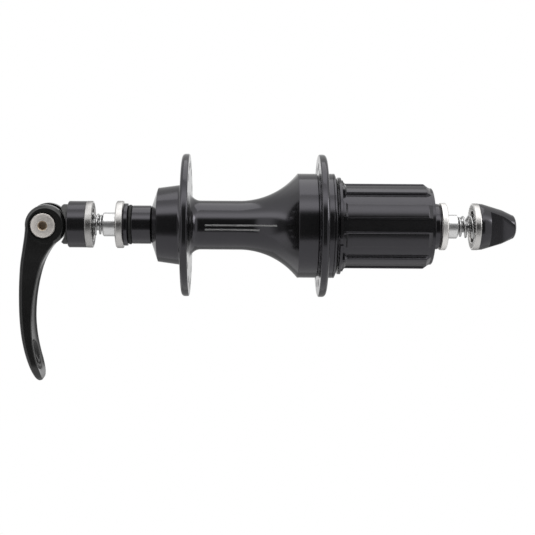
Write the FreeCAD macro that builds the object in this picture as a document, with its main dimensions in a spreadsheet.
"""Rear bicycle hub: sealed bearings, cassette freehub body and quick-release skewer.

Lengths are millimetres. X runs along the axle with +X towards the cassette, Z is up, and the
origin is on the axle midway between the two locknut faces that clamp the frame.
"""
import FreeCAD, Part
import math
import os
import re
import Sketcher

DIMENSIONS = {
    # Axle and the parts clamped on it
    "old_half": 67.5, "axle_left": 73.0, "axle_right": 72.2, "axle_bore": 2.75,
    "stub_radius": 4.9, "stub_chamfer": 0.4,
    "thread_radius": 5.0, "seat_radius": 6.0, "axle_centre_radius": 7.5, "nut_radius": 9.7,
    "nut_edge": 0.5, "left_nut_inner": 64.3, "right_nut_inner": 64.7, "lock_ring_inner": 62.6,
    "lock_ring_radius": 8.7, "o_ring_inner": 60.9, "o_ring_bore": 6.5, "o_ring_round": 0.6,
    "sleeve_radius": 7.86, "sleeve_step": 53.2, "sleeve_neck": 7.05, "race_shoulder": 8.0,
    "right_spacer_radius": 9.35, "right_spacer_step": 57.0,
    # Ball bearings, 12 x 24 x 6
    "bearing_half": 3.0, "bearing_outer": 12.0, "inner_land": 8.0, "outer_land": 10.0,
    "ball_pitch": 9.0, "ball_radius": 1.5, "groove_radius": 1.55, "cage_half": 2.1,
    "cage_inner": 8.4, "cage_outer": 9.6, "seal_inner": 8.1, "seal_outer": 9.9,
    "seal_thickness": 0.4, "left_hub_centre": -46.5, "right_hub_centre": 4.0,
    "inner_freehub_centre": 22.0, "outer_freehub_centre": 49.3,
    # Hub shell
    "shell_left": -50.4, "drum_left_radius": 15.15, "drum_right": -42.4, "drum_right_radius": 16.25,
    "left_flange": -39.0, "right_flange": 16.6, "flange_half": 1.55, "flange_radius": 29.1,
    "flange_round": 1.0, "drum_fillet": 1.85, "neck_fillet_radius": 12.0, "neck_fillet": 5.8,
    "barrel_left": -33.0, "barrel_radius": 10.05, "flare_start": -16.7, "flare_arc": 30.43,
    "flare_end": 6.84, "drum_radius": 21.2, "groove_start": 14.4, "groove_floor": 20.8,
    "rim_radius": 21.4, "rim_fillet": 1.1, "rim_chamfer_start": 21.5, "rim_face_radius": 19.9,
    "shell_right": 22.2, "seal_seat_radius": 19.2, "seal_seat": 19.0, "ratchet_seat_radius": 18.0,
    "ratchet_seat": 8.6, "shell_shoulder": 10.9, "shell_bore": 8.3, "left_spoke_circle": 24.7,
    "right_spoke_circle": 24.0, "spoke_hole": 1.35, "spoke_count": 16, "cover_mouth": -52.9,
    "cover_mouth_radius": 7.8,
    "cover_bore": 7.35, "cover_back": -50.9, "cover_spigot": -49.55, "cover_spigot_bore": 10.6,
    "dust_seal_bore": 16.75, "dust_seal_end": 21.6,
    # Ratchet and pawls
    "ratchet_left": 8.8, "ratchet_right": 18.4, "tooth_tip": 14.7, "tooth_root": 15.9,
    "tooth_count": 24, "tooth_phase": 10.4, "carrier_left": 9.0, "carrier_right": 18.6,
    "carrier_radius": 13.3, "carrier_bore": 8.6, "pawl_count": 3, "pawl_pivot": 11.4,
    "pawl_left": 11.5, "pawl_width": 6.0, "pawl_heel": 1.85, "pawl_reach": 8.2,
    "pawl_clearance": 0.1, "pawl_slot_half": 0.6, "ring_groove_half": 0.5, "ring_centre": 14.5,
    "ring_groove_floor": 12.4, "ring_radius": 12.8, "ring_wire": 0.33,
    # Freehub body
    "freehub_neck": 16.5, "shoulder_left": 22.9, "shoulder_radius": 19.85, "stop_left": 24.5,
    "stop_radius": 18.7, "spline_left": 26.2, "spline_radius": 17.4, "spline_floor": 16.0,
    "spline_floor_half": 2.55, "spline_mouth_half": 3.15, "narrow_floor_half": 1.6,
    "narrow_mouth_half": 2.1, "spline_cut_left": 24.9, "spline_pitch": 40.0, "spline_angle": 172.6,
    "spline_cuts": 8, "lead_start": 58.3, "lead_end": 60.1, "lead_radius": 16.0,
    "freehub_end_radius": 15.7, "freehub_right": 61.3, "lockring_radius": 14.9,
    "lockring_depth": 8.0, "circlip_left": 52.4, "circlip_groove": 12.7, "circlip_outer": 12.65,
    "circlip_bore": 11.3, "circlip_gap": 24.0, "collar_notch_half": 1.5, "collar_notch_floor": 18.9,
    "collar_notches": 3,
    # Quick-release skewer
    "rod_radius": 2.5, "rod_right": 90.5, "pin_x": -97.0, "eye_radius": 5.5, "eye_half": 2.6,
    "pin_radius": 3.0, "pin_bore": 3.05, "cam_x": -96.0, "cam_radius": 8.37, "cam_half": 6.6,
    "cam_edge": 1.1, "slot_half": 2.75, "slot_floor": 2.9, "slot_round": 5.9, "screw_head": 5.15,
    "screw_head_depth": 1.0, "counterbore": 5.7, "screw_tip": 2.0, "hex_half": 1.6,
    "hex_depth": 0.8, "cap_left": -87.1, "cap_right": -79.7, "cap_radius": 9.55, "cap_edge": 0.4,
    "cap_bore": 2.8, "cap_recess": 6.5, "cap_recess_floor": -82.3, "spigot_end": -84.5,
    "spigot_radius": 5.6, "spigot_clearance": 0.05, "washer_left": -90.2, "washer_radius": 8.2,
    "saddle_arc": 10.5, "saddle_gap": 0.4, "clamp_ring_radius": 9.6, "left_clamp_face": -77.0,
    "right_clamp_face": 78.2, "end_nut_left": 80.7, "end_nut_base": 9.5, "end_nut_cone_left": 82.2,
    "end_nut_cone_radius": 9.4, "end_nut_cone_right": 90.3, "end_nut_nose_radius": 6.95,
    "end_nut_dome": 94.4, "end_nut_dome_radius": 4.9, "end_nut_dome_arc": 4.2, "end_nut_right": 96.1,
    "end_nut_recess_floor": 83.0, "insert_radius": 3.8, "insert_right": 91.0, "thread_bore": 2.55,
    "thread_end": 93.9, "flat_left": 84.8, "flat_height": 4.3, "flat_angle": 188.7,
    "spring_wire": 0.45, "spring_small": 3.4, "spring_turns": 4.5, "spring_spread": 2.2,
    "left_spring_length": 8.1, "right_spring_length": 9.3, "spring_gap": 0.05,
    # Lever arm: side view (X, Z) and half widths in Y
    "arm_back_x": -104.7, "arm_back_z": -1.5, "arm_back_arc": 162.0, "arm_heel_x": -106.2,
    "arm_heel_z": -47.7, "arm_heel_arc": 26.0, "arm_tip_x": -98.7, "arm_tip_z": -64.7,
    "arm_tip_arc": 1.3, "arm_lip_x": -97.6, "arm_lip_z": -62.6, "arm_front_arc": 58.0,
    "arm_front_x": -101.1, "arm_front_z": -34.6, "arm_neck_arc": 51.0, "arm_neck_x": -92.8,
    "arm_neck_z": -8.9, "arm_root_x": -93.1, "arm_root_z": -5.0, "arm_neck_half": 4.9,
    "arm_neck_level": -10.0, "arm_wide_half": 7.9, "arm_wide_level": -44.0, "arm_tip_half": 8.0,
    "arm_tip_level": -56.4, "arm_bottom": -65.1, "dish_top": -49.0, "dish_bottom": -59.5,
    "dish_half": 4.2, "dish_depth": 1.4,
}

doc = FreeCAD.newDocument("RearHub")
sheet = doc.addObject("Spreadsheet::Sheet", "Dims")
for row, (alias, number) in enumerate(DIMENSIONS.items(), start=1):
    sheet.set(f"A{row}", alias)
    sheet.set(f"B{row}", str(number))
    sheet.setAlias(f"B{row}", alias)
doc.recompute()

X_AXIS = FreeCAD.Vector(1, 0, 0)
Y_AXIS = FreeCAD.Vector(0, 1, 0)
Z_AXIS = FreeCAD.Vector(0, 0, 1)
WORD = re.compile(r"[a-z_]+")
subparts = []


def cell(text):
    """The expression with each alias pointed at the spreadsheet."""
    return WORD.sub(lambda m: "Dims." + m.group() if m.group() in DIMENSIONS else m.group(), text)


def value(text):
    """The number that an expression of aliases has now."""
    result = sheet.evalExpression(text)
    return float(getattr(result, "Value", result))


def new_body(name):
    body = doc.addObject("PartDesign::Body", name)
    body.Label = name
    subparts.append(body)
    return body


def keep(part, name):
    """Name a finished sub-part that isn't a PartDesign body."""
    part.Label = name
    subparts.append(part)
    return part


def new_sketch(body, role, offset="0", turn="0"):
    """A sketch on one of the body's origin planes, moved along and turned about its normal."""
    sketch = body.newObject("Sketcher::SketchObject", body.Name + "Sketch")
    plane = next(f for f in body.Origin.OriginFeatures if f.Role == role)
    sketch.AttachmentSupport = [(plane, "")]
    sketch.MapMode = "FlatFace"
    sketch.AttachmentOffset = FreeCAD.Placement(FreeCAD.Vector(0, 0, value(offset)),
                                                FreeCAD.Rotation(Z_AXIS, value(turn)))
    if offset != "0":
        sketch.setExpression(".AttachmentOffset.Base.z", cell(offset))
    if turn != "0":
        sketch.setExpression(".AttachmentOffset.Rotation.Angle", cell(turn))
    return sketch


def bind(sketch, kind, references, text):
    """Add a dimension to the sketch and tie it to an expression of the spreadsheet."""
    index = sketch.addConstraint(Sketcher.Constraint(kind, *references, value(text)))
    sketch.setExpression(f"Constraints[{index}]", cell(text))


def edge_between(start, end, arc):
    """A line, or the short arc of a signed radius: positive turns left. Says if it is reversed."""
    if not arc:
        return Part.LineSegment(start, end), False
    radius = abs(value(arc))
    chord = end - start
    height = math.sqrt(max(radius ** 2 - chord.Length ** 2 / 4, 0))
    left = FreeCAD.Vector(-chord.y, chord.x, 0) / chord.Length
    turns_right = arc.startswith("-")
    centre = (start + end) / 2 + left * (-height if turns_right else height)
    first, last = (end, start) if turns_right else (start, end)
    angles = [math.atan2(p.y - centre.y, p.x - centre.x) for p in (first, last)]
    if angles[1] < angles[0]:
        angles[1] += 2 * math.pi
    return Part.ArcOfCircle(Part.Circle(centre, Z_AXIS, radius), *angles), turns_right


def outline(sketch, points):
    """Draw a closed outline of (across, up[, arc to the next point]) expressions, all bound."""
    corners = [FreeCAD.Vector(value(p[0]), value(p[1]), 0) for p in points]
    ends = []
    for index, point in enumerate(points):
        arc = point[2] if len(point) > 2 else None
        following = corners[(index + 1) % len(points)]
        edge, is_reversed = edge_between(corners[index], following, arc)
        number = sketch.addGeometry(edge)
        ends.append((number, 2, 1) if is_reversed else (number, 1, 2))
        if arc:
            bind(sketch, "Radius", (number,), arc.lstrip("-"))
    for index, (number, start, _) in enumerate(ends):
        before, _, finish = ends[index - 1]
        sketch.addConstraint(Sketcher.Constraint("Coincident", before, finish, number, start))
        for kind, text, axis in (("DistanceX", points[index][0], -2), ("DistanceY", points[index][1], -1)):
            if value(text) == 0:
                sketch.addConstraint(Sketcher.Constraint("PointOnObject", number, start, axis))
            else:
                bind(sketch, kind, (-1, 1, number, start), text)


def circle(sketch, across, up, radius):
    """Draw a circle whose centre and radius are expressions."""
    centre = FreeCAD.Vector(value(across), value(up), 0)
    number = sketch.addGeometry(Part.Circle(centre, Z_AXIS, value(radius)))
    bind(sketch, "Radius", (number,), radius)
    for kind, text, axis in (("DistanceX", across, -2), ("DistanceY", up, -1)):
        if value(text) == 0:
            sketch.addConstraint(Sketcher.Constraint("PointOnObject", number, 3, axis))
        else:
            bind(sketch, kind, (-1, 1, number, 3), text)


def revolve(body, points, role="XZ_Plane", axis="H_Axis"):
    """Turn a closed outline of (along the axis, radius) about X, or (radius, along) about Y."""
    sketch = new_sketch(body, role)
    outline(sketch, points)
    feature = body.newObject("PartDesign::Revolution", body.Name + "Turned")
    feature.Profile = sketch
    feature.ReferenceAxis = (sketch, [axis])
    feature.Angle = 360
    return feature


def extrude(body, kind, sketch, length, symmetric=False, is_reversed=False):
    """Pad or pocket a sketch by an expression's length."""
    feature = body.newObject("PartDesign::" + kind, body.Name + kind)
    feature.Profile = sketch
    feature.Length = value(length)
    feature.setExpression("Length", cell(length))
    feature.Midplane = symmetric
    feature.Reversed = is_reversed
    return feature


def repeat_about_x(body, feature, count, angle="360"):
    """Repeat a feature about the axle and make the pattern the body's tip."""
    pattern = body.newObject("PartDesign::PolarPattern", body.Name + "Pattern")
    pattern.Originals = [feature]
    pattern.Axis = (next(f for f in body.Origin.OriginFeatures if f.Role == "X_Axis"), [""])
    pattern.Angle = value(angle)
    pattern.Occurrences = int(value(count))
    pattern.setExpression("Occurrences", cell(count))
    body.Tip = pattern
    return pattern


def ring(name, left, right, bore, radius, edge=None):
    """A plain turned ring between two stations, with both outer edges chamfered if asked."""
    if edge is None:
        corners = [(right, radius), (left, radius)]
    else:
        corners = [(right, f"{radius} - {edge}"), (f"{right} - {edge}", radius),
                   (f"{left} + {edge}", radius), (left, f"{radius} - {edge}")]
    body = new_body(name)
    revolve(body, [(left, bore), (right, bore)] + corners)
    return body


def make_axle():
    body = new_body("axle")
    stub_end = "axle_right - stub_chamfer"
    stub_rim = "stub_radius - stub_chamfer"
    right_seat = "outer_freehub_centre + bearing_half"
    left_seat = "left_hub_centre - bearing_half"
    revolve(body, [
        ("-axle_left", "axle_bore"), ("axle_right", "axle_bore"), ("axle_right", stub_rim),
        (stub_end, "stub_radius"), ("old_half", "stub_radius"), ("old_half", "thread_radius"),
        (right_seat, "thread_radius"), (right_seat, "seat_radius"),
        ("right_hub_centre - bearing_half", "seat_radius"),
        ("right_hub_centre - bearing_half", "axle_centre_radius"),
        ("left_hub_centre + bearing_half", "axle_centre_radius"),
        ("left_hub_centre + bearing_half", "seat_radius"), (left_seat, "seat_radius"),
        (left_seat, "thread_radius"), ("-old_half", "thread_radius"), ("-old_half", "stub_radius"),
        ("-(axle_left - stub_chamfer)", "stub_radius"), ("-axle_left", stub_rim)])


def make_axle_hardware():
    """Locknuts, lock ring, O-ring, end sleeve and the spacers that the locknuts clamp."""
    ring("left_locknut", "-old_half", "-left_nut_inner", "thread_radius", "nut_radius", "nut_edge")
    ring("right_locknut", "right_nut_inner", "old_half", "thread_radius", "nut_radius", "nut_edge")
    ring("left_lock_ring", "-left_nut_inner", "-lock_ring_inner", "thread_radius", "lock_ring_radius")
    ring("left_o_ring", "-lock_ring_inner", "-o_ring_inner", "o_ring_bore", "lock_ring_radius",
         "o_ring_round")
    revolve(new_body("left_sleeve"), [
        ("-lock_ring_inner", "thread_radius"), ("left_hub_centre - bearing_half", "thread_radius"),
        ("left_hub_centre - bearing_half", "sleeve_neck"), ("-sleeve_step", "sleeve_neck"),
        ("-sleeve_step", "sleeve_radius"), ("-o_ring_inner", "sleeve_radius"),
        ("-o_ring_inner", "o_ring_bore"), ("-lock_ring_inner", "o_ring_bore")])
    revolve(new_body("right_spacer"), [
        ("outer_freehub_centre + bearing_half", "thread_radius"), ("right_nut_inner", "thread_radius"),
        ("right_nut_inner", "right_spacer_radius"), ("right_spacer_step", "right_spacer_radius"),
        ("right_spacer_step", "race_shoulder"), ("outer_freehub_centre + bearing_half", "race_shoulder")])
    ring("inner_spacer", "right_hub_centre + bearing_half", "inner_freehub_centre - bearing_half",
         "seat_radius", "race_shoulder")
    ring("freehub_spacer", "inner_freehub_centre + bearing_half", "outer_freehub_centre - bearing_half",
         "seat_radius", "race_shoulder")


def spheres(name, radius):
    """Ten spheres on the bearing's pitch circle, as one compound."""
    members = []
    for index in range(10):
        ball = doc.addObject("Part::Sphere", f"{name}_{index}")
        ball.setExpression("Radius", cell(radius))
        ball.setExpression(".Placement.Base.y", f"Dims.ball_pitch * cos({36 * index} deg)")
        ball.setExpression(".Placement.Base.z", f"Dims.ball_pitch * sin({36 * index} deg)")
        members.append(ball)
    group = doc.addObject("Part::Compound", name)
    group.Links = members
    return group


def make_bearing(place):
    """A shielded ball bearing: two races, balls in a ring cage, and a pair of rubber seals."""
    centre = place + "_centre"
    groove_edge = "sqrt(groove_radius ^ 2 - (ball_pitch - {0}) ^ 2)"
    races = (("inner_race", "seat_radius", "inner_land"), ("outer_race", "bearing_outer", "outer_land"))
    for kind, seat, land in races:
        half = groove_edge.format(land)
        body = new_body(f"{place}_{kind}")
        arc = "groove_radius" if kind == "inner_race" else "-groove_radius"
        revolve(body, [("-bearing_half", seat), ("-bearing_half", land), (f"-{half}", land, arc),
                       (half, land), ("bearing_half", land), ("bearing_half", seat)])
        body.setExpression(".Placement.Base.x", cell(centre))
    balls = keep(spheres(f"{place}_balls", "ball_radius"), f"{place}_balls")
    pockets = spheres(f"{place}_pockets", "groove_radius")
    blank = doc.addObject("Part::Cylinder", f"{place}_cage_blank")
    hole = doc.addObject("Part::Cylinder", f"{place}_cage_hole")
    for tube, radius in ((blank, "cage_outer"), (hole, "cage_inner")):
        tube.setExpression("Radius", cell(radius))
        tube.setExpression("Height", "2 * Dims.cage_half")
        tube.Placement = FreeCAD.Placement(FreeCAD.Vector(-value("cage_half"), 0, 0),
                                           FreeCAD.Rotation(Y_AXIS, 90))
    band = doc.addObject("Part::Cut", f"{place}_cage_band")
    band.Base = blank
    band.Tool = hole
    cage = keep(doc.addObject("Part::Cut", f"{place}_cage"), f"{place}_cage")
    cage.Base = band
    cage.Tool = pockets
    seals = keep(doc.addObject("Part::Compound", f"{place}_seals"), f"{place}_seals")
    members = []
    for side, start in (("left", "-Dims.bearing_half"), ("right", "Dims.bearing_half - Dims.seal_thickness")):
        disc = doc.addObject("Part::Cylinder", f"{place}_{side}_disc")
        eye = doc.addObject("Part::Cylinder", f"{place}_{side}_eye")
        for tube, radius in ((disc, "seal_outer"), (eye, "seal_inner")):
            tube.setExpression("Radius", cell(radius))
            tube.setExpression("Height", "Dims.seal_thickness")
            tube.Placement = FreeCAD.Placement(FreeCAD.Vector(), FreeCAD.Rotation(Y_AXIS, 90))
            tube.setExpression(".Placement.Base.x", start)
        washer = doc.addObject("Part::Cut", f"{place}_{side}_seal")
        washer.Base = disc
        washer.Tool = eye
        members.append(washer)
    seals.Links = members
    for part in (balls, cage, seals):
        part.setExpression(".Placement.Base.x", cell(centre))


def make_hub_shell():
    body = new_body("hub_shell")
    fillet_left = "left_flange - flange_half"

    def flange(centre):
        return [(f"{centre} - flange_half", "flange_radius - flange_round", "-flange_round"),
                (f"{centre} - flange_half + flange_round", "flange_radius"),
                (f"{centre} + flange_half - flange_round", "flange_radius", "-flange_round"),
                (f"{centre} + flange_half", "flange_radius - flange_round")]

    right_face = "right_flange + flange_half"
    revolve(body, [("shell_left", "bearing_outer"), ("shell_left", "drum_left_radius"),
                   ("drum_right", "drum_right_radius", "drum_fillet"),
                   (fillet_left, "drum_right_radius + drum_fillet")]
            + flange("left_flange")
            + [("left_flange + flange_half", "neck_fillet_radius", "neck_fillet"),
               ("barrel_left", "barrel_radius"), ("flare_start", "barrel_radius", "flare_arc"),
               ("flare_end", "drum_radius"), ("groove_start", "drum_radius"),
               ("groove_start", "groove_floor"), ("right_flange - flange_half", "groove_floor")]
            + flange("right_flange")
            + [(right_face, "rim_radius + rim_fillet", "rim_fillet"),
               (f"{right_face} + rim_fillet", "rim_radius"), ("rim_chamfer_start", "rim_radius"),
               ("shell_right", "rim_face_radius"), ("shell_right", "seal_seat_radius"),
               ("seal_seat", "seal_seat_radius"), ("seal_seat", "ratchet_seat_radius"),
               ("ratchet_seat", "ratchet_seat_radius"), ("ratchet_seat", "bearing_outer"),
               ("right_hub_centre - bearing_half", "bearing_outer"),
               ("right_hub_centre - bearing_half", "shell_shoulder"),
               ("-bearing_half / 2", "shell_shoulder"), ("-2 * bearing_half", "shell_bore"),
               ("left_flange + 2", "shell_bore"), ("left_flange - 2.5", "shell_shoulder"),
               ("left_hub_centre + bearing_half", "shell_shoulder"),
               ("left_hub_centre + bearing_half", "bearing_outer")])
    for side, turn in (("left", "180 / spoke_count"), ("right", "0")):
        sketch = new_sketch(body, "YZ_Plane", f"{side}_flange", turn)
        circle(sketch, "0", f"{side}_spoke_circle", "spoke_hole")
        hole = extrude(body, "Pocket", sketch, "4 * flange_half", symmetric=True)
        repeat_about_x(body, hole, "spoke_count")


def make_shell_inserts():
    """Ratchet ring, left dust cover and the freehub's lip seal, all fixed in the shell."""
    body = ring("ratchet_ring", "ratchet_left", "ratchet_right", "tooth_tip", "ratchet_seat_radius")
    sketch = new_sketch(body, "YZ_Plane", "ratchet_left", "tooth_phase")
    pitch = "360 / tooth_count"
    outline(sketch, [("tooth_tip - 0.3", "0"), ("tooth_root", "0"),
                     (f"(tooth_tip - 0.05) * cos({pitch})", f"(tooth_tip - 0.05) * sin({pitch})")])
    gap = extrude(body, "Pocket", sketch, "ratchet_right - ratchet_left", is_reversed=True)
    repeat_about_x(body, gap, "tooth_count")
    revolve(new_body("left_dust_cover"), [
        ("cover_mouth", "cover_bore"), ("cover_mouth", "cover_mouth_radius"),
        ("shell_left", "drum_left_radius"), ("shell_left", "bearing_outer"),
        ("cover_spigot", "bearing_outer"), ("cover_spigot", "cover_spigot_bore"),
        ("cover_back", "cover_spigot_bore"), ("cover_back", "cover_bore")])
    ring("freehub_dust_seal", "seal_seat", "dust_seal_end", "dust_seal_bore", "seal_seat_radius")


def make_freehub_body():
    body = new_body("freehub_body")
    notch_left = "ring_centre - ring_groove_half"
    notch_right = "ring_centre + ring_groove_half"
    seat = "inner_freehub_centre - bearing_half"
    mouth = "freehub_right - lockring_depth"
    revolve(body, [
        ("carrier_left", "carrier_bore"), ("carrier_left", "carrier_radius"),
        (notch_left, "carrier_radius"), (notch_left, "ring_groove_floor"),
        (notch_right, "ring_groove_floor"), (notch_right, "carrier_radius"),
        ("carrier_right", "carrier_radius"), ("carrier_right", "freehub_neck"),
        ("shoulder_left", "freehub_neck"), ("shoulder_left", "shoulder_radius"),
        ("stop_left", "shoulder_radius"), ("stop_left", "stop_radius"), ("spline_left", "stop_radius"),
        ("spline_left", "spline_radius"), ("lead_start", "spline_radius"), ("lead_end", "lead_radius"),
        ("lead_end", "freehub_end_radius"), ("freehub_right", "freehub_end_radius"),
        ("freehub_right", "lockring_radius"), (mouth, "lockring_radius"), (mouth, "circlip_groove"),
        ("circlip_left", "circlip_groove"), ("circlip_left", "bearing_outer"), (seat, "bearing_outer"),
        (seat, "carrier_bore")])

    def spline_cut(floor_half, mouth_half, turn):
        sketch = new_sketch(body, "YZ_Plane", "spline_cut_left", turn)
        reach = "stop_radius + 0.3"
        flare = f"({mouth_half} + ({reach} - spline_radius) * 0.43)"
        outline(sketch, [("spline_floor", f"-{floor_half}"), (reach, f"-{flare}"), (reach, flare),
                         ("spline_floor", floor_half)])
        return extrude(body, "Pocket", sketch, "freehub_right - spline_cut_left + 1", is_reversed=True)

    wide = spline_cut("spline_floor_half", "spline_mouth_half", "spline_angle - 4 * spline_pitch")
    pitches = "spline_pitch * (spline_cuts - 1)"
    repeat_about_x(body, wide, "spline_cuts", pitches)
    spline_cut("narrow_floor_half", "narrow_mouth_half", "spline_angle + 4 * spline_pitch")
    notch = new_sketch(body, "YZ_Plane", "shoulder_left", "spline_angle + spline_pitch / 2")
    outline(notch, [("collar_notch_floor", "-collar_notch_half"),
                    ("shoulder_radius + 1", "-collar_notch_half"),
                    ("shoulder_radius + 1", "collar_notch_half"),
                    ("collar_notch_floor", "collar_notch_half")])
    cut = extrude(body, "Pocket", notch, "stop_left - shoulder_left", is_reversed=True)
    repeat_about_x(body, cut, "collar_notches")
    socket = "pawl_heel + pawl_clearance"
    pocket = new_sketch(body, "YZ_Plane", "pawl_left - 2 * pawl_clearance", "90")
    outline(pocket, [(f"pawl_pivot - ({socket})", "0"), (f"pawl_pivot - ({socket})", "-pawl_reach - 0.8"),
                     ("carrier_radius + 1", "-pawl_reach - 0.8"), ("carrier_radius + 1", "0"),
                     (f"pawl_pivot + {socket}", "0", socket), ("pawl_pivot", socket, socket)])
    nest = extrude(body, "Pocket", pocket, "pawl_width + 4 * pawl_clearance", is_reversed=True)
    repeat_about_x(body, nest, "pawl_count")


def make_pawls():
    """Three pawls, tucked in clear of the ratchet, each slotted for the spring ring."""
    for index in range(3):
        body = new_body(f"pawl_{index + 1}")
        turn = f"90 + {index} * 360 / pawl_count"
        sketch = new_sketch(body, "YZ_Plane", "pawl_left", turn)
        outline(sketch, [("pawl_pivot - pawl_heel", "0"), ("pawl_pivot - pawl_heel", "-1"),
                         ("pawl_pivot - 1.5", "-pawl_reach"), ("pawl_pivot + 0.3", "-pawl_reach"),
                         ("pawl_pivot + 0.9", "-pawl_reach + 1.7"), ("pawl_pivot + 1.3", "-2"),
                         ("pawl_pivot + pawl_heel", "0", "pawl_heel"),
                         ("pawl_pivot", "pawl_heel", "pawl_heel")])
        extrude(body, "Pad", sketch, "pawl_width")
        slot = new_sketch(body, "YZ_Plane", "ring_centre", turn)
        outline(slot, [("pawl_pivot + 0.6", "3"), ("pawl_pivot + 0.6", "-1.2"),
                       ("pawl_pivot - 4", "-1.2"), ("pawl_pivot - 4", "-pawl_reach - 1"),
                       ("pawl_pivot + 4", "-pawl_reach - 1"), ("pawl_pivot + 4", "3")])
        extrude(body, "Pocket", slot, "2 * pawl_slot_half", symmetric=True)
    spring = keep(doc.addObject("Part::Torus", "pawl_spring_ring"), "pawl_spring_ring")
    spring.setExpression("Radius1", cell("ring_radius"))
    spring.setExpression("Radius2", cell("ring_wire"))
    spring.Angle3 = 345
    spring.Placement = FreeCAD.Placement(FreeCAD.Vector(), FreeCAD.Rotation(Y_AXIS, 90))
    spring.setExpression(".Placement.Base.x", cell("ring_centre"))


def make_circlip():
    """The open snap ring that holds the outer freehub bearing in."""
    body = ring("freehub_circlip", "circlip_left + 0.05", "freehub_right - lockring_depth - 0.05",
                "circlip_bore", "circlip_outer")
    sketch = new_sketch(body, "YZ_Plane", "circlip_left - 1", "135")
    spread = "circlip_outer * sin(circlip_gap / 2)"
    outline(sketch, [("circlip_bore - 2", f"-{spread}"), ("circlip_outer + 1", f"-{spread}"),
                     ("circlip_outer + 1", spread), ("circlip_bore - 2", spread)])
    extrude(body, "Pocket", sketch, "3", is_reversed=True)


def make_skewer_rod():
    body = new_body("skewer_rod")
    revolve(body, [("pin_x + eye_radius - 1", "0"), ("pin_x + eye_radius - 1", "rod_radius"),
                   ("rod_right - 0.5", "rod_radius"), ("rod_right", "rod_radius - 0.5"),
                   ("rod_right", "0")])
    eye = new_sketch(body, "XZ_Plane")
    circle(eye, "pin_x", "0", "eye_radius")
    extrude(body, "Pad", eye, "2 * eye_half", symmetric=True)
    hole = new_sketch(body, "XZ_Plane")
    circle(hole, "pin_x", "0", "pin_bore")
    extrude(body, "Pocket", hole, "4 * eye_half", symmetric=True)


def make_cam_lever():
    """The cam head, slotted for the rod's eye, with its curved arm hanging below."""
    body = new_body("cam_lever")
    side = new_sketch(body, "XZ_Plane")
    outline(side, [("arm_back_x", "arm_back_z", "arm_back_arc"), ("arm_heel_x", "arm_heel_z", "arm_heel_arc"),
                   ("arm_tip_x", "arm_tip_z", "arm_tip_arc"), ("arm_lip_x", "arm_lip_z", "-arm_front_arc"),
                   ("arm_front_x", "arm_front_z", "-arm_neck_arc"), ("arm_neck_x", "arm_neck_z"),
                   ("arm_root_x", "arm_root_z"), ("cam_x", "arm_back_z")])
    extrude(body, "Pad", side, "2.4 * arm_tip_half", symmetric=True)
    front = new_sketch(body, "YZ_Plane")
    reach = "(arm_tip_half + 4)"
    outline(front, [(f"-{reach}", "2"), (f"-{reach}", f"arm_bottom - {reach}"),
                    (reach, f"arm_bottom - {reach}"), (reach, "2")])
    outline(front, [("-cam_half", "1"), ("-arm_neck_half", "arm_neck_level"),
                    ("-arm_wide_half", "arm_wide_level"), ("-arm_tip_half", "arm_tip_level", "arm_tip_half"),
                    ("0", "arm_tip_level - arm_tip_half", "arm_tip_half"),
                    ("arm_tip_half", "arm_tip_level"), ("arm_wide_half", "arm_wide_level"),
                    ("arm_neck_half", "arm_neck_level"), ("cam_half", "1")])
    extrude(body, "Pocket", front, "240", symmetric=True)
    head = new_sketch(body, "XZ_Plane")
    circle(head, "cam_x", "0", "cam_radius - cam_edge")
    extrude(body, "Pad", head, "2 * cam_half", symmetric=True)
    drum = new_sketch(body, "XZ_Plane")
    circle(drum, "cam_x", "0", "cam_radius")
    extrude(body, "Pad", drum, "2 * (cam_half - cam_edge)", symmetric=True)
    slot = new_sketch(body, "XZ_Plane")
    reach = "(cam_radius + 3)"
    waist = "sqrt(slot_round ^ 2 - slot_floor ^ 2)"
    outline(slot, [(f"pin_x - {reach}", "-slot_floor"), (f"pin_x - {waist}", "-slot_floor", "slot_round"),
                   ("pin_x", "-slot_round", "slot_round"), (f"pin_x + {waist}", "-slot_floor"),
                   (f"cam_x + {reach}", "-slot_floor"), (f"cam_x + {reach}", reach),
                   (f"pin_x - {reach}", reach)])
    extrude(body, "Pocket", slot, "2 * slot_half", symmetric=True)
    bore = new_sketch(body, "XZ_Plane")
    circle(bore, "pin_x", "0", "pin_radius")
    extrude(body, "Pocket", bore, "4 * cam_half", symmetric=True)
    for side_offset, is_reversed in (("cam_half", False), ("-cam_half", True)):
        seat = new_sketch(body, "XZ_Plane", side_offset)
        circle(seat, "pin_x", "0", "counterbore")
        extrude(body, "Pocket", seat, "screw_head_depth", is_reversed=is_reversed)
    dish = new_sketch(body, "YZ_Plane", "arm_front_x + dish_depth / 2")
    outline(dish, [("-dish_half", "dish_bottom + dish_half", "dish_half"),
                   ("0", "dish_bottom", "dish_half"), ("dish_half", "dish_bottom + dish_half"),
                   ("dish_half", "dish_top - dish_half", "dish_half"), ("0", "dish_top", "dish_half"),
                   ("-dish_half", "dish_top - dish_half")])
    extrude(body, "Pocket", dish, "10", is_reversed=True)


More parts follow.
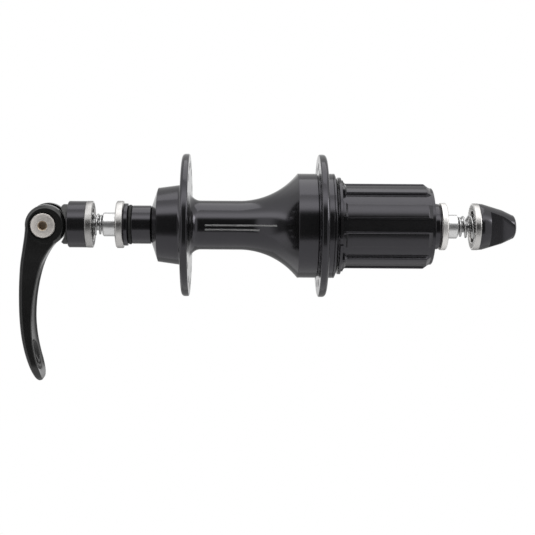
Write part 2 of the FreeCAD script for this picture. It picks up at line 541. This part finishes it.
def make_pivot():
    """The cam's pivot: a socket-head screw and the round nut on its far end."""
    inner = "(cam_half - screw_head_depth)"
    screw = new_body("pivot_screw")
    revolve(screw, [("0", "-cam_half"), ("screw_head", "-cam_half"), ("screw_head", f"-{inner}"),
                    ("pin_radius", f"-{inner}"), ("pin_radius", inner), ("screw_tip", inner),
                    ("screw_tip", "cam_half"), ("0", "cam_half")], "XY_Plane", "V_Axis")
    socket = new_sketch(screw, "XZ_Plane", "cam_half")
    corner = "hex_half / cos(30)"
    outline(socket, [(f"{corner} * cos({60 * k + 30})", f"{corner} * sin({60 * k + 30})") for k in range(6)])
    extrude(screw, "Pocket", socket, "hex_depth")
    nut = new_body("pivot_nut")
    revolve(nut, [("screw_tip", inner), ("screw_head", inner), ("screw_head", "cam_half"),
                  ("screw_tip", "cam_half")], "XY_Plane", "V_Axis")
    for body in (screw, nut):
        body.setExpression(".Placement.Base.x", cell("pin_x"))


def make_lever_cap():
    """The left cap with its serrated clamp ring and the plastic saddle the cam bears on."""
    revolve(new_body("lever_cap"), [
        ("cap_left", "spigot_radius"), ("cap_left", "cap_radius - cap_edge"),
        ("cap_left + cap_edge", "cap_radius"), ("cap_right", "cap_radius"), ("cap_right", "cap_recess"),
        ("cap_recess_floor", "cap_recess"), ("cap_recess_floor", "cap_bore"), ("spigot_end", "cap_bore"),
        ("spigot_end", "spigot_radius")])
    ring("lever_clamp_ring", "cap_right", "left_clamp_face", "cap_recess", "clamp_ring_radius", "cap_edge")
    washer = new_body("saddle_washer")
    revolve(washer, [
        ("washer_left", "cap_bore"), ("washer_left", "washer_radius"), ("cap_left", "washer_radius"),
        ("cap_left", "spigot_radius - spigot_clearance"),
        ("spigot_end - spigot_clearance", "spigot_radius - spigot_clearance"),
        ("spigot_end - spigot_clearance", "cap_bore")])
    saddle = new_sketch(washer, "XZ_Plane")
    circle(saddle, "cam_x + cam_radius + saddle_gap - saddle_arc", "0", "saddle_arc")
    extrude(washer, "Pocket", saddle, "4 * washer_radius", symmetric=True)


def make_end_nut():
    """The conical nut with two finger flats, its threaded insert and its clamp ring."""
    body = new_body("skewer_nut")
    revolve(body, [
        ("end_nut_left", "cap_recess"), ("end_nut_left", "end_nut_base"),
        ("end_nut_cone_left", "end_nut_cone_radius"), ("end_nut_cone_right", "end_nut_nose_radius"),
        ("end_nut_dome", "end_nut_dome_radius", "-end_nut_dome_arc"), ("end_nut_right", "0"),
        ("thread_end", "0"), ("thread_end", "thread_bore"), ("insert_right", "thread_bore"),
        ("insert_right", "insert_radius"), ("end_nut_recess_floor", "insert_radius"),
        ("end_nut_recess_floor", "cap_recess")])
    sketch = new_sketch(body, "YZ_Plane", "flat_left", "flat_angle")
    reach = "end_nut_base + 1"
    outline(sketch, [("flat_height", f"-({reach})"), (reach, f"-({reach})"), (reach, reach),
                     ("flat_height", reach)])
    flat = extrude(body, "Pocket", sketch, "end_nut_right - flat_left + 1", is_reversed=True)
    repeat_about_x(body, flat, "2")
    ring("nut_insert", "end_nut_recess_floor", "insert_right", "thread_bore", "insert_radius")
    ring("nut_clamp_ring", "right_clamp_face", "end_nut_left", "cap_recess", "clamp_ring_radius", "cap_edge")


def make_spring(name, length, axle_end, direction):
    """A conical wire spring with its small end on the axle's end face."""
    helix = doc.addObject("Part::Helix", name + "_path")
    helix.setExpression("Radius", cell("spring_small"))
    helix.setExpression("Height", cell(length))
    helix.setExpression("Pitch", cell(f"{length} / spring_turns"))
    helix.setExpression("Angle", cell(f"atan(spring_spread / {length})"))
    wire = doc.addObject("Part::Circle", name + "_wire")
    wire.setExpression("Radius", cell("spring_wire"))
    wire.Placement = FreeCAD.Placement(FreeCAD.Vector(value("spring_small"), 0, 0),
                                       FreeCAD.Rotation(X_AXIS, 90))
    spring = keep(doc.addObject("Part::Sweep", name), name)
    spring.Sections = [wire]
    spring.Spine = (helix, ["Edge1"])
    spring.Solid = True
    spring.Frenet = True
    start = direction * value(f"{axle_end} + spring_wire + spring_gap")
    spring.Placement = FreeCAD.Placement(FreeCAD.Vector(start, 0, 0),
                                         FreeCAD.Rotation(Y_AXIS, 90 * direction))


make_axle()
make_axle_hardware()
for bearing_place in ("left_hub", "right_hub", "inner_freehub", "outer_freehub"):
    make_bearing(bearing_place)
make_hub_shell()
make_shell_inserts()
make_freehub_body()
make_pawls()
make_circlip()
make_skewer_rod()
make_cam_lever()
make_pivot()
make_lever_cap()
make_end_nut()
make_spring("left_spring", "left_spring_length", "axle_left", -1)
make_spring("right_spring", "right_spring_length", "axle_right", 1)
doc.recompute()

failed = [o.Label for o in doc.Objects if {"Invalid", "Error"} & set(o.State)]
failed += [p.Label for p in subparts if p.Shape.isNull() or not p.Shape.isValid()]
if failed:
    raise SystemExit(f"these objects failed: {failed}")
os.makedirs("parts", exist_ok=True)
for part in subparts:
    part.Shape.exportStep(f"parts/{part.Label}.step")
    print(f"{part.Label:26s} {len(part.Shape.Solids):3d} solids {part.Shape.Volume:10.1f} mm3")
